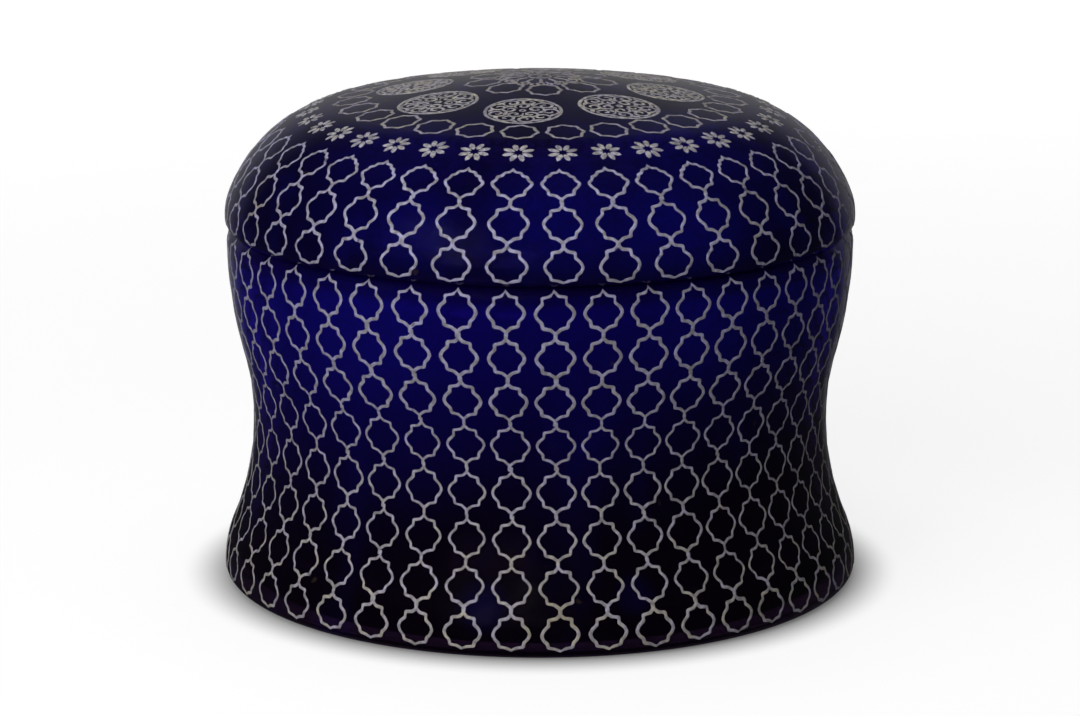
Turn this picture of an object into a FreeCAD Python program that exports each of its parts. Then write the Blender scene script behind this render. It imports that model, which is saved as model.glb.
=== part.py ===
"""Covered glass box: a waisted drum with a flared foot, and a low domed lid that lifts off.

Both pieces are turned shapes, so each is one section sketch revolved about the box's axis.
The lid's ground rim rests on a ground seat, and an upright collar on the body keeps it centred.
The origin is at the middle of the base, +Z is up, and sizes are in millimetres.
"""

import FreeCAD
import Part

import math
import os

import Sketcher

# Driving dimensions. A name that ends in share is a ratio; every other value is a length.
SIZES = {
    "body_diameter": (140.0, "widest diameter, at the foot"),
    "foot_round": (2.5, "radius of the foot's outer edge, which is widest at this height"),
    "waist_inset": (6.8, "how far the waist lies inside the foot"),
    "waist_height": (36.2, "height of the narrowest place"),
    "foot_turn_share": (0.733, "where the waist's hollow turns into the foot's swell, from the waist"),
    "shoulder_inset": (1.6, "how far the shoulder lies inside the foot"),
    "shoulder_drop": (3.3, "how far the shoulder's widest place lies below the seat"),
    "shoulder_turn_share": (0.375, "where the hollow turns into the shoulder's swell, from the waist"),
    "rim_roll_radius": (3.75, "radius of the rolled edge outside the seat"),
    "seat_height": (78.5, "height of the ground seat that the lid rests on"),
    "body_wall": (4.0, "thickness of the body's wall"),
    "collar_height": (5.0, "height of the collar above the seat"),
    "collar_thickness": (3.0, "thickness of the collar at its root"),
    "collar_draft": (0.8, "how far the collar's outside leans in over its height"),
    "collar_bevel": (0.8, "width of the bevels on the collar's two top edges"),
    "lip_radius": (4.0, "radius of the lip inside the collar's root"),
    "throat_radius": (8.0, "radius of the hollow below that lip"),
    "floor_thickness": (5.0, "thickness of the floor over the pushed-up base"),
    "floor_corner_radius": (8.0, "radius between the floor and the wall"),
    "ring_inner_diameter": (108.0, "inner diameter of the flat standing ring"),
    "ring_edge_round": (1.0, "radius of the standing ring's inner edge"),
    "kick_height": (7.0, "height of the pushed-up base at its middle"),
    "pontil_diameter": (18.0, "diameter of the scar left by the blower's rod"),
    "pontil_height": (0.9, "height of that scar"),
    "lid_inset": (1.25, "how far the lid's widest place lies inside the foot"),
    "lid_height": (31.8, "height of the lid above the seat"),
    "lid_bulge_height": (2.3, "height of the lid's widest place above the seat"),
    "lid_rim_roll_radius": (6.9, "radius of the lid's edge below its widest place"),
    "lid_haunch_radius": (11.7, "radius just above the lid's widest place"),
    "lid_shoulder_radius": (30.9, "radius of the lid's round shoulder"),
    "lid_crown_radius": (426.0, "radius of the lid's flat crown round its middle"),
    "lid_apex_radius": (80.0, "radius of the rounder middle of the crown"),
    "lid_apex_reach": (8.0, "how far that rounder middle reaches from the axis"),
    "lid_wall": (4.0, "thickness of the lid's wall"),
    "lid_rim_bevel": (0.6, "width of the two bevels beside the lid's ground rim"),
    "lid_clearance": (0.5, "gap all round between the collar and the lid"),
}

SHEET = "sizes"
FULL_TURN = 360.0
# How a sketch's constraints number its two axes, and the points of an edge.
SKETCH_X, SKETCH_Y = range(-1, -3, -1)
START, END, CENTRE = range(1, 4)

# Sizes that several constraints use, written in the sheet's names.
FOOT_RADIUS = "sizes.body_diameter / 2"
WAIST_RADIUS = "(sizes.body_diameter / 2 - sizes.waist_inset)"
SHOULDER_RADIUS = "(sizes.body_diameter / 2 - sizes.shoulder_inset)"
SHOULDER_HEIGHT = "(sizes.seat_height - sizes.shoulder_drop)"
LID_RADIUS = "(sizes.body_diameter / 2 - sizes.lid_inset)"
COLLAR_RADIUS = "(sizes.body_diameter / 2 - sizes.lid_inset - sizes.lid_wall - sizes.lid_clearance)"
KICK_RADIUS = ("((sizes.ring_inner_diameter ^ 2 / 4 + sizes.kick_height ^ 2)"
               " / (2 * sizes.kick_height))")


def make_sheet(doc):
    """Write the driving dimensions into a spreadsheet, one aliased cell each."""
    sheet = doc.addObject("Spreadsheet::Sheet", SHEET)
    for row, (name, (value, note)) in enumerate(SIZES.items(), start=1):
        sheet.set(f"A{row}", name)
        sheet.set(f"B{row}", str(value))
        sheet.set(f"C{row}", note)
        sheet.setAlias(f"B{row}", name)
    doc.recompute()
    return sheet


def meet(first, first_distance, second, second_distance, side):
    """Return the point at two given distances from two points, on the chosen side of their line."""
    line = second - first
    gap = line.Length
    along = (first_distance ** 2 - second_distance ** 2 + gap ** 2) / (2 * gap)
    off = math.sqrt(max(first_distance ** 2 - along ** 2, 0))
    unit = line / gap
    return first + unit * along + FreeCAD.Vector(-unit.y, unit.x, 0) * (off * side)


def heading(origin, target):
    """Return the angle from one point of the sketch towards another."""
    return math.atan2(target.y - origin.y, target.x - origin.x)


def point(x, y):
    """Return a point of the sketch plane."""
    return FreeCAD.Vector(x, y, 0)


class Outline:
    """A closed section, drawn edge after edge in the order a hand would trace it."""

    def __init__(self, body, name):
        self.sketch = body.newObject("Sketcher::SketchObject", name)
        plane = next(o for o in body.Origin.OriginFeatures if o.Role == "XZ_Plane")
        self.sketch.AttachmentSupport = [(plane, "")]
        self.sketch.MapMode = "FlatFace"
        self.ends = {}

    def line(self, first, last):
        """Add a straight edge and return its number."""
        edge = self.sketch.addGeometry(Part.LineSegment(first, last), False)
        self.ends[edge] = (START, END)
        return edge

    def arc(self, centre, radius, first_angle, last_angle):
        """Add a round edge traced from one angle to the other and return its number."""
        circle = Part.Circle(centre, FreeCAD.Vector(0, 0, 1), radius)
        low, high = sorted((first_angle, last_angle))
        edge = self.sketch.addGeometry(Part.ArcOfCircle(circle, low, high), False)
        self.ends[edge] = (START, END) if last_angle > first_angle else (END, START)
        return edge

    def first(self, edge):
        """Return the edge's traced start, as the sketch's constraints name it."""
        return edge, self.ends[edge][0]

    def last(self, edge):
        """Return the edge's traced end, as the sketch's constraints name it."""
        return edge, self.ends[edge][1]

    def fix(self, kind, *where):
        """Add a constraint that has no size."""
        self.sketch.addConstraint(Sketcher.Constraint(kind, *where))

    def smooth(self, *edges):
        """Join edges end to end with a shared tangent."""
        for before, after in zip(edges, edges[1:]):
            self.fix("Tangent", *self.last(before), *self.first(after))

    def corner(self, *edges):
        """Join edges end to end at a corner."""
        for before, after in zip(edges, edges[1:]):
            self.fix("Coincident", *self.last(before), *self.first(after))

    def size(self, kind, name, rule, *where):
        """Add a constraint whose size follows a rule in the sheet's names."""
        value = self.sketch.evalExpression(rule)
        number = self.sketch.addConstraint(Sketcher.Constraint(kind, *where, float(value)))
        self.sketch.renameConstraint(number, name)
        self.sketch.setExpression(f"Constraints.{name}", rule)

    def across(self, name, rule, end):
        """Set how far an edge's end lies from the axis."""
        self.size("DistanceX", name, rule, SKETCH_X, START, *end)

    def up(self, name, rule, end):
        """Set how high an edge's end lies above the base."""
        self.size("DistanceY", name, rule, SKETCH_X, START, *end)

    def turn(self, body, name, feature):
        """Revolve the section about the box's axis, adding or removing glass."""
        solid = body.newObject(feature, name)
        solid.Profile = self.sketch
        solid.ReferenceAxis = (self.sketch, ["V_Axis"])
        solid.Angle = FULL_TURN
        return solid


def ease_rims(body, base, name, kind, rims, rule):
    """Round or bevel circular edges of a turned piece, each given by its radius and height."""
    numbers = []
    for radius, height in rims:
        nearest = min(
            (abs(edge.Curve.Radius - radius) + abs(edge.Curve.Center.z - height), number)
            for number, edge in enumerate(base.Shape.Edges, start=1)
            if not edge.Degenerated and isinstance(edge.Curve, Part.Circle))
        numbers.append(f"Edge{nearest[1]}")
    eased = body.newObject(f"PartDesign::{kind}", name)
    eased.Base = (base, numbers)
    eased.setExpression("Radius" if kind == "Fillet" else "Size", rule)
    return eased


def body_section(body, dims):
    """Draw the body's wall, seat, collar and floor, with a flat underside."""
    foot_x = dims.body_diameter / 2
    foot_y = dims.foot_round
    waist = point(foot_x - dims.waist_inset, dims.waist_height)
    shoulder = point(foot_x - dims.shoulder_inset, dims.seat_height - dims.shoulder_drop)

    # The hollow waist and the swells above and below it share the distance between them.
    low_rise = waist.y - foot_y
    low_sum = (low_rise ** 2 + dims.waist_inset ** 2) / (2 * dims.waist_inset)
    low_hollow = low_sum * dims.foot_turn_share
    swell = low_sum - low_hollow
    high_inset = shoulder.x - waist.x
    high_rise = shoulder.y - waist.y
    high_sum = (high_rise ** 2 + high_inset ** 2) / (2 * high_inset)
    high_hollow = high_sum * dims.shoulder_turn_share
    shoulder_swell = high_sum - high_hollow

    round_at = point(foot_x - dims.foot_round, foot_y)
    swell_at = point(foot_x - swell, foot_y)
    low_at = point(waist.x + low_hollow, waist.y)
    high_at = point(waist.x + high_hollow, waist.y)
    shoulder_at = point(shoulder.x - shoulder_swell, shoulder.y)
    roll_at = point(shoulder.x - dims.rim_roll_radius, shoulder.y)
    roll_angle = math.asin(dims.shoulder_drop / dims.rim_roll_radius)
    low_angle = heading(swell_at, low_at)
    high_angle = heading(shoulder_at, high_at)

    # The collar stands inside the lid, and the throat leads from it to the inner wall.
    seat = dims.seat_height
    collar_top = seat + dims.collar_height
    collar_x = foot_x - dims.lid_inset - dims.lid_wall - dims.lid_clearance
    mouth_x = collar_x - dims.collar_thickness
    lip_at = point(mouth_x + dims.lip_radius, seat)
    inner_shoulder = shoulder_swell - dims.body_wall
    throat_at = meet(shoulder_at, inner_shoulder - dims.throat_radius,
                     lip_at, dims.lip_radius + dims.throat_radius, -1)
    throat_top = heading(throat_at, lip_at)
    throat_foot = heading(shoulder_at, throat_at)

    # The floor lies over the pushed-up base and meets the wall in a round corner.
    ring = dims.ring_inner_diameter / 2
    kick_radius = (ring ** 2 + dims.kick_height ** 2) / (2 * dims.kick_height)
    floor_radius = kick_radius + dims.floor_thickness
    floor_at = point(0, dims.kick_height - kick_radius)
    floor_top = dims.kick_height + dims.floor_thickness
    inner_low = low_hollow + dims.body_wall
    corner_at = meet(floor_at, floor_radius + dims.floor_corner_radius,
                     low_at, inner_low + dims.floor_corner_radius, 1)

    out = Outline(body, "body_section")
    base = out.line(point(0, 0), point(round_at.x, 0))
    foot_edge = out.arc(round_at, dims.foot_round, -math.pi / 2, 0)
    foot = out.arc(swell_at, swell, 0, low_angle)
    hollow_low = out.arc(low_at, low_hollow, math.pi + low_angle, math.pi)
    hollow_high = out.arc(high_at, high_hollow, math.pi, math.pi + high_angle)
    shoulder_edge = out.arc(shoulder_at, shoulder_swell, high_angle, 0)
    roll = out.arc(roll_at, dims.rim_roll_radius, 0, roll_angle)
    roll_x = roll_at.x + dims.rim_roll_radius * math.cos(roll_angle)
    seat_edge = out.line(point(roll_x, seat), point(collar_x, seat))
    top_x = collar_x - dims.collar_draft
    collar_out = out.line(point(collar_x, seat), point(top_x, collar_top))
    collar_rim = out.line(point(top_x, collar_top), point(mouth_x, collar_top))
    collar_in = out.line(point(mouth_x, collar_top), point(mouth_x, seat))
    lip = out.arc(lip_at, dims.lip_radius, math.pi, math.pi + throat_top)
    throat = out.arc(throat_at, dims.throat_radius, throat_top, throat_foot)
    wall_top = out.arc(shoulder_at, inner_shoulder, throat_foot, high_angle)
    wall_high = out.arc(high_at, high_hollow + dims.body_wall, math.pi + high_angle, math.pi)
    corner_up = heading(corner_at, low_at)
    corner_down = heading(corner_at, floor_at)
    wall_low = out.arc(low_at, inner_low, math.pi, math.pi + corner_up)
    corner = out.arc(corner_at, dims.floor_corner_radius, corner_up, corner_down)
    floor = out.arc(floor_at, floor_radius, math.pi + corner_down, math.pi / 2)
    axis = out.line(point(0, floor_top), point(0, 0))

    out.smooth(base, foot_edge, foot, hollow_low, hollow_high, shoulder_edge, roll)
    out.corner(roll, seat_edge, collar_out, collar_rim, collar_in)
    out.smooth(collar_in, lip, throat, wall_top, wall_high, wall_low, corner, floor)
    out.corner(floor, axis, base)
    out.fix("Coincident", *out.first(base), SKETCH_X, START)
    out.fix("Horizontal", base)
    out.fix("Vertical", axis)
    out.fix("Horizontal", seat_edge)
    out.fix("Horizontal", collar_rim)
    out.fix("Vertical", collar_in)
    for edge in (foot_edge, hollow_low, shoulder_edge):
        out.fix("Horizontal", edge, CENTRE, *out.last(edge))
    for inner, outer in ((wall_top, shoulder_edge), (wall_high, hollow_high), (wall_low, hollow_low)):
        out.fix("Coincident", inner, CENTRE, outer, CENTRE)
    out.fix("PointOnObject", floor, CENTRE, SKETCH_Y)

    out.across("foot_reach", FOOT_RADIUS, out.last(foot_edge))
    out.size("Radius", "foot_round", "sizes.foot_round", foot_edge)
    out.across("waist_reach", WAIST_RADIUS, out.last(hollow_low))
    out.up("waist_level", "sizes.waist_height", out.last(hollow_low))
    out.size("DistanceY", "foot_turn",
             "sizes.foot_turn_share * (sizes.waist_height - sizes.foot_round)",
             *out.last(foot), *out.last(hollow_low))
    out.across("shoulder_reach", SHOULDER_RADIUS, out.last(shoulder_edge))
    out.up("shoulder_level", SHOULDER_HEIGHT, out.last(shoulder_edge))
    out.size("DistanceY", "shoulder_turn",
             f"sizes.shoulder_turn_share * ({SHOULDER_HEIGHT} - sizes.waist_height)",
             *out.last(hollow_low), *out.last(hollow_high))
    out.size("Radius", "rim_roll", "sizes.rim_roll_radius", roll)
    out.up("seat_level", "sizes.seat_height", out.last(roll))
    out.across("collar_reach", COLLAR_RADIUS, out.first(collar_out))
    out.up("collar_level", "sizes.seat_height + sizes.collar_height", out.last(collar_out))
    out.across("collar_top_reach", f"{COLLAR_RADIUS} - sizes.collar_draft", out.last(collar_out))
    out.across("mouth_reach", f"{COLLAR_RADIUS} - sizes.collar_thickness", out.first(collar_in))
    out.up("lip_level", "sizes.seat_height", (lip, CENTRE))
    out.size("Radius", "lip", "sizes.lip_radius", lip)
    out.size("Radius", "throat", "sizes.throat_radius", throat)
    out.size("DistanceX", "wall", "sizes.body_wall", *out.last(wall_high), *out.last(hollow_low))
    out.size("Radius", "floor_corner", "sizes.floor_corner_radius", corner)
    out.size("Radius", "floor_bow", f"{KICK_RADIUS} + sizes.floor_thickness", floor)
    out.up("floor_level", "sizes.kick_height + sizes.floor_thickness", out.last(floor))
    return out


def kick_section(body, dims):
    """Draw the hollow pushed up under the base, down to the scar of the blower's rod."""
    ring = dims.ring_inner_diameter / 2
    radius = (ring ** 2 + dims.kick_height ** 2) / (2 * dims.kick_height)
    centre = point(0, dims.kick_height - radius)
    scar_x = dims.pontil_diameter / 2
    scar_top = centre.y + math.sqrt(radius ** 2 - scar_x ** 2)
    scar_foot = scar_top - dims.pontil_height

    out = Outline(body, "kick_section")
    base = out.line(point(0, 0), point(ring, 0))
    bow = out.arc(centre, radius, heading(centre, point(ring, 0)), heading(centre, point(scar_x, scar_top)))
    side = out.line(point(scar_x, scar_top), point(scar_x, scar_foot))
    face = out.line(point(scar_x, scar_foot), point(0, scar_foot))
    axis = out.line(point(0, scar_foot), point(0, 0))
    out.corner(base, bow, side, face, axis, base)
    out.fix("Coincident", *out.first(base), SKETCH_X, START)
    out.fix("Horizontal", base)
    out.fix("Vertical", side)
    out.fix("Horizontal", face)
    out.fix("Vertical", axis)
    out.fix("PointOnObject", bow, CENTRE, SKETCH_Y)
    out.across("ring_reach", "sizes.ring_inner_diameter / 2", out.last(base))
    out.size("Radius", "kick_bow", KICK_RADIUS, bow)
    out.across("scar_reach", "sizes.pontil_diameter / 2", out.last(side))
    out.size("DistanceY", "scar_rise", "sizes.pontil_height", *out.last(side), *out.first(side))
    return out


def lid_section(body, dims):
    """Draw the lid's wall, from its flat crown to the ground rim."""
    wide = point(dims.body_diameter / 2 - dims.lid_inset, dims.seat_height + dims.lid_bulge_height)
    seat = dims.seat_height
    top = seat + dims.lid_height
    wall = dims.lid_wall
    apex_at = point(0, top - dims.lid_apex_radius)
    apex_angle = math.acos(dims.lid_apex_reach / dims.lid_apex_radius)
    apex_way = point(math.cos(apex_angle), math.sin(apex_angle))
    crown_at = apex_at - apex_way * (dims.lid_crown_radius - dims.lid_apex_radius)
    haunch_at = point(wide.x - dims.lid_haunch_radius, wide.y)
    shoulder_at = meet(crown_at, dims.lid_crown_radius - dims.lid_shoulder_radius,
                       haunch_at, dims.lid_shoulder_radius - dims.lid_haunch_radius, 1)
    roll_at = point(wide.x - dims.lid_rim_roll_radius, wide.y)
    crown_angle = heading(crown_at, shoulder_at)
    haunch_angle = heading(shoulder_at, haunch_at)
    roll_angle = -math.asin((dims.lid_bulge_height - dims.lid_rim_bevel) / dims.lid_rim_roll_radius)
    roll_foot = roll_at + point(math.cos(roll_angle), math.sin(roll_angle)) * dims.lid_rim_roll_radius
    rim_out = roll_foot.x - dims.lid_rim_bevel
    rim_in = wide.x - wall

    out = Outline(body, "lid_section")
    rim = out.line(point(rim_in, seat), point(rim_out, seat))
    rim_edge = out.line(point(rim_out, seat), roll_foot)
    roll = out.arc(roll_at, dims.lid_rim_roll_radius, roll_angle, 0)
    haunch = out.arc(haunch_at, dims.lid_haunch_radius, 0, haunch_angle)
    shoulder = out.arc(shoulder_at, dims.lid_shoulder_radius, haunch_angle, crown_angle)
    crown = out.arc(crown_at, dims.lid_crown_radius, crown_angle, apex_angle)
    apex = out.arc(apex_at, dims.lid_apex_radius, apex_angle, math.pi / 2)
    axis = out.line(point(0, top), point(0, top - wall))
    apex_in = out.arc(apex_at, dims.lid_apex_radius - wall, math.pi / 2, apex_angle)
    crown_in = out.arc(crown_at, dims.lid_crown_radius - wall, apex_angle, crown_angle)
    shoulder_in = out.arc(shoulder_at, dims.lid_shoulder_radius - wall, crown_angle, haunch_angle)
    haunch_in = out.arc(haunch_at, dims.lid_haunch_radius - wall, haunch_angle, 0)
    register = out.line(point(rim_in, wide.y), point(rim_in, seat))

    out.corner(register, rim, rim_edge, roll)
    out.smooth(roll, haunch, shoulder, crown, apex)
    out.corner(apex, axis, apex_in)
    out.smooth(apex_in, crown_in, shoulder_in, haunch_in, register)
    out.fix("Horizontal", rim)
    out.fix("Horizontal", roll, CENTRE, *out.last(roll))
    out.fix("Vertical", register)
    out.fix("PointOnObject", *out.first(axis), SKETCH_Y)
    out.fix("Vertical", axis)
    out.fix("PointOnObject", apex, CENTRE, SKETCH_Y)
    for inner, outer in ((apex_in, apex), (crown_in, crown), (shoulder_in, shoulder), (haunch_in, haunch)):
        out.fix("Coincident", inner, CENTRE, outer, CENTRE)

    out.up("rim_level", "sizes.seat_height", out.first(rim))
    out.across("lid_reach", LID_RADIUS, out.last(roll))
    out.up("bulge_level", "sizes.seat_height + sizes.lid_bulge_height", out.last(roll))
    out.size("DistanceX", "rim_bevel_run", "sizes.lid_rim_bevel", *out.first(rim_edge), *out.last(rim_edge))
    out.size("DistanceY", "rim_bevel_rise", "sizes.lid_rim_bevel", *out.first(rim_edge), *out.last(rim_edge))
    out.size("Radius", "rim_roll", "sizes.lid_rim_roll_radius", roll)
    out.size("Radius", "haunch", "sizes.lid_haunch_radius", haunch)
    out.size("Radius", "shoulder", "sizes.lid_shoulder_radius", shoulder)
    out.size("Radius", "crown", "sizes.lid_crown_radius", crown)
    out.size("Radius", "apex", "sizes.lid_apex_radius", apex)
    out.across("apex_reach", "sizes.lid_apex_reach", out.first(apex))
    out.up("crown_level", "sizes.seat_height + sizes.lid_height", out.first(axis))
    out.size("DistanceY", "wall", "sizes.lid_wall", *out.last(axis), *out.first(axis))
    return out


def make_body(doc, dims):
    """Build the body: the turned wall, the pushed-up base and the eased edges."""
    body = doc.addObject("PartDesign::Body", "glass_body")
    body.Label = "glass_body"
    wall = body_section(body, dims).turn(body, "turned_wall", "PartDesign::Revolution")
    doc.recompute()
    kick = kick_section(body, dims).turn(body, "pushed_up_base", "PartDesign::Groove")
    doc.recompute()
    if kick.Shape.Volume >= wall.Shape.Volume:
        raise RuntimeError("the pushed-up base removed no glass")
    collar_x = dims.body_diameter / 2 - dims.lid_inset - dims.lid_wall - dims.lid_clearance
    collar_top = dims.seat_height + dims.collar_height
    rims = [(collar_x - dims.collar_draft, collar_top), (collar_x - dims.collar_thickness, collar_top)]
    bevelled = ease_rims(body, kick, "collar_edges", "Chamfer", rims, "sizes.collar_bevel")
    doc.recompute()
    ring_edge = [(dims.ring_inner_diameter / 2, 0)]
    ease_rims(body, bevelled, "ring_edge", "Fillet", ring_edge, "sizes.ring_edge_round")
    return body


def make_lid(doc, dims):
    """Build the lid: the turned dome and the bevelled inner edge of its ground rim."""
    lid = doc.addObject("PartDesign::Body", "glass_lid")
    lid.Label = "glass_lid"
    dome = lid_section(lid, dims).turn(lid, "turned_dome", "PartDesign::Revolution")
    doc.recompute()
    rim_in = dims.body_diameter / 2 - dims.lid_inset - dims.lid_wall
    rim_edge = [(rim_in, dims.seat_height)]
    ease_rims(lid, dome, "rim_inner_edge", "Chamfer", rim_edge, "sizes.lid_rim_bevel")
    return lid


def check(doc, pieces):
    """Stop before anything is written if a feature failed or a piece isn't one sound solid."""
    for item in doc.Objects:
        if {"Invalid", "Error"} & set(item.State):
            raise RuntimeError(f"{item.Label} failed: {item.State}")
        if item.isDerivedFrom("Sketcher::SketchObject") and not item.FullyConstrained:
            raise RuntimeError(f"{item.Label} is not fully constrained")
    for piece in pieces:
        shape = piece.Shape
        if shape.isNull() or not shape.isValid() or len(shape.Solids) != 1:
            raise RuntimeError(f"{piece.Label} is not one valid solid")


def main():
    """Build the box and write one file for each piece."""
    doc = FreeCAD.newDocument("covered_box")
    dims = make_sheet(doc)
    pieces = [make_body(doc, dims), make_lid(doc, dims)]
    doc.recompute()
    check(doc, pieces)
    os.makedirs("parts", exist_ok=True)
    for piece in pieces:
        piece.Shape.exportStep(f"parts/{piece.Label}.step")
        print(piece.Label, "volume", round(piece.Shape.Volume), "cubic millimetres")


main()
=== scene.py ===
"""Covered box of deep blue glass with brushed silver ornament.

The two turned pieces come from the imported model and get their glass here. The ornament is drawn flat,
repeated by geometry nodes and laid on the turned outsides, so it follows the same profile as the glass.
Sizes are in metres. The front of the box faces -Y, and a turn is counted from the front to the right.
"""

from __future__ import annotations

import logging
import math
from dataclasses import dataclass
from enum import Enum
from typing import Any, Sequence

import bmesh
import bpy
import numpy as np
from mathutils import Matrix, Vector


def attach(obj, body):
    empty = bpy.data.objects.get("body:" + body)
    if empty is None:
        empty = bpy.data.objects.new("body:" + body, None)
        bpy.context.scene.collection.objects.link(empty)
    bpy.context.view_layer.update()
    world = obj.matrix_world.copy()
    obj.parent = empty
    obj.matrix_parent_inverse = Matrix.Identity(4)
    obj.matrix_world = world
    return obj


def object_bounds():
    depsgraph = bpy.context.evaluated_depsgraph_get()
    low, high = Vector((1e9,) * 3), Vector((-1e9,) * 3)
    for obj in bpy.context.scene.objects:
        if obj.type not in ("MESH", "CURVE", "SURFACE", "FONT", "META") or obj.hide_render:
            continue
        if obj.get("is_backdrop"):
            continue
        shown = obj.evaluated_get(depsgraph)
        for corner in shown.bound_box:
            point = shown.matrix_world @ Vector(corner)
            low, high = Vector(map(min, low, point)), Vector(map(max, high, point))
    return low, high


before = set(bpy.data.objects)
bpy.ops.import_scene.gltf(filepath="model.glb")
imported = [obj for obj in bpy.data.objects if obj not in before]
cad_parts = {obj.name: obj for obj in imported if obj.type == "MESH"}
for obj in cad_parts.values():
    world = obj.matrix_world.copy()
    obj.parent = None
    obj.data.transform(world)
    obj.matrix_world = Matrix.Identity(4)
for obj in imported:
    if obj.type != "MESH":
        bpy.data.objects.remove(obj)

LOG = logging.getLogger("covered_box")
MM = 0.001
PHOTO_WIDTH = 1080
Point = tuple[float, float]
Corners = tuple[tuple[float, float, float], ...]
Colour = tuple[float, float, float]
Value = Any


def put(name: str, data: bpy.types.ID) -> bpy.types.Object:
    """Add an object with its data to the scene."""
    made = bpy.data.objects.new(name, data)
    bpy.context.scene.collection.objects.link(made)
    return made


class Wire:
    """A socket of a node tree that takes part in Python arithmetic."""

    def __init__(self, graph: Graph, socket: bpy.types.NodeSocket) -> None:
        """Keep the socket and the graph that new nodes go to."""
        self.graph = graph
        self.socket = socket

    def __add__(self, other: Value) -> Wire:
        """Add a number or another wire."""
        return self.graph.math("ADD", self, other)

    def __sub__(self, other: Value) -> Wire:
        """Take away a number or another wire."""
        return self.graph.math("SUBTRACT", self, other)

    def __mul__(self, other: Value) -> Wire:
        """Multiply by a number or another wire."""
        return self.graph.math("MULTIPLY", self, other)

    def __truediv__(self, other: Value) -> Wire:
        """Divide by a number or another wire."""
        return self.graph.math("DIVIDE", self, other)

    def __radd__(self, other: Value) -> Wire:
        """Add this wire to a number."""
        return self.graph.math("ADD", other, self)

    def __rsub__(self, other: Value) -> Wire:
        """Take this wire away from a number."""
        return self.graph.math("SUBTRACT", other, self)

    def __rmul__(self, other: Value) -> Wire:
        """Multiply a number by this wire."""
        return self.graph.math("MULTIPLY", other, self)


class Graph:
    """Adds nodes to one tree, each from its type, its settings and what its sockets get."""

    def __init__(self, tree: bpy.types.NodeTree) -> None:
        """Keep the tree and empty it."""
        self.tree = tree
        tree.nodes.clear()

    def node(self, kind: str, settings: dict[str, Any] | None = None,
             sockets: dict[str | int, Value] | None = None) -> bpy.types.Node:
        """Add one node.

        Args:
            kind: The node's type.
            settings: Its properties.
            sockets: The value or wire for each input, by name or number.

        Returns:
            The new node.
        """
        made = self.tree.nodes.new(kind)
        for name, value in (settings or {}).items():
            setattr(made, name, value)
        for key, value in (sockets or {}).items():
            if isinstance(value, Wire):
                self.tree.links.new(value.socket, made.inputs[key])
            else:
                made.inputs[key].default_value = value
        return made

    def wire(self, kind: str, settings: dict[str, Any] | None = None,
             sockets: dict[str | int, Value] | None = None, output: str | int = 0) -> Wire:
        """Add one node and return one of its outputs.

        Args:
            kind: The node's type.
            settings: Its properties.
            sockets: The value or wire for each input.
            output: The output's name or number.

        Returns:
            The output as a wire.
        """
        return Wire(self, self.node(kind, settings, sockets).outputs[output])

    def math(self, operation: str, first: Value, second: Value = 0.0) -> Wire:
        """Add a Math node for two numbers or wires."""
        return self.wire("ShaderNodeMath", {"operation": operation}, {0: first, 1: second})

    def blend(self, factor: Value, first: Value, second: Value) -> Wire:
        """Mix two colours by a factor."""
        ends = [end if isinstance(end, Wire) else (*end, 1.0) for end in (first, second)]
        return self.wire("ShaderNodeMix", {"data_type": "RGBA"}, {0: factor, 6: ends[0], 7: ends[1]}, 2)

    def split(self, vector: Wire) -> tuple[Wire, Wire, Wire]:
        """Return a vector's three parts."""
        made = self.node("ShaderNodeSeparateXYZ", None, {0: vector})
        return tuple(Wire(self, made.outputs[i]) for i in range(3))

    def join(self, x: Value, y: Value, z: Value) -> Wire:
        """Return a vector of three parts."""
        return self.wire("ShaderNodeCombineXYZ", None, {0: x, 1: y, 2: z})

    def steps(self, value: Value, low: float, high: float) -> Wire:
        """Turn a value into a soft step from 0 at low to 1 at high."""
        return self.wire("ShaderNodeMapRange", {"interpolation_type": "SMOOTHSTEP"},
                         {0: value, 1: low, 2: high, 3: 0.0, 4: 1.0})

    def noise(self, place: Wire, scale: float, detail: float = 2.0, output: int = 0) -> Wire:
        """Add a noise texture at a place and return its value, or its colour as output 1."""
        return self.wire("ShaderNodeTexNoise", None, {"Vector": place, "Scale": scale, "Detail": detail}, output)


class Finish:
    """A procedural material that is made once and shared."""

    name = "finish"

    def material(self) -> bpy.types.Material:
        """Return the finish's material, making it on first use."""
        made = bpy.data.materials.get(self.name)
        if made is None:
            made = bpy.data.materials.new(self.name)
            made.use_nodes = True
            self.fill(Graph(made.node_tree))
        return made

    def fill(self, graph: Graph) -> None:
        """Add the finish's nodes."""
        raise NotImplementedError


@dataclass(frozen=True)
class BlueGlowSpot:
    """A soft spot of painted blue glow, where light shines through the glass, in millimetres, with its strength as
    a share.
    """

    middle: tuple[float, float, float]
    reach: float
    share: float
    core: float = 0.2

    def strength(self, graph: Graph, place: Wire) -> Wire:
        """Return how much of the painted lighter blue the spot gives to a place."""
        reach, middle = self.reach * MM, [value * MM for value in self.middle]
        gap = graph.wire("ShaderNodeVectorMath", {"operation": "DISTANCE"}, {0: place, 1: middle}, "Value")
        return (1.0 - graph.steps(gap, self.core * reach, reach)) * self.share


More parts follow.
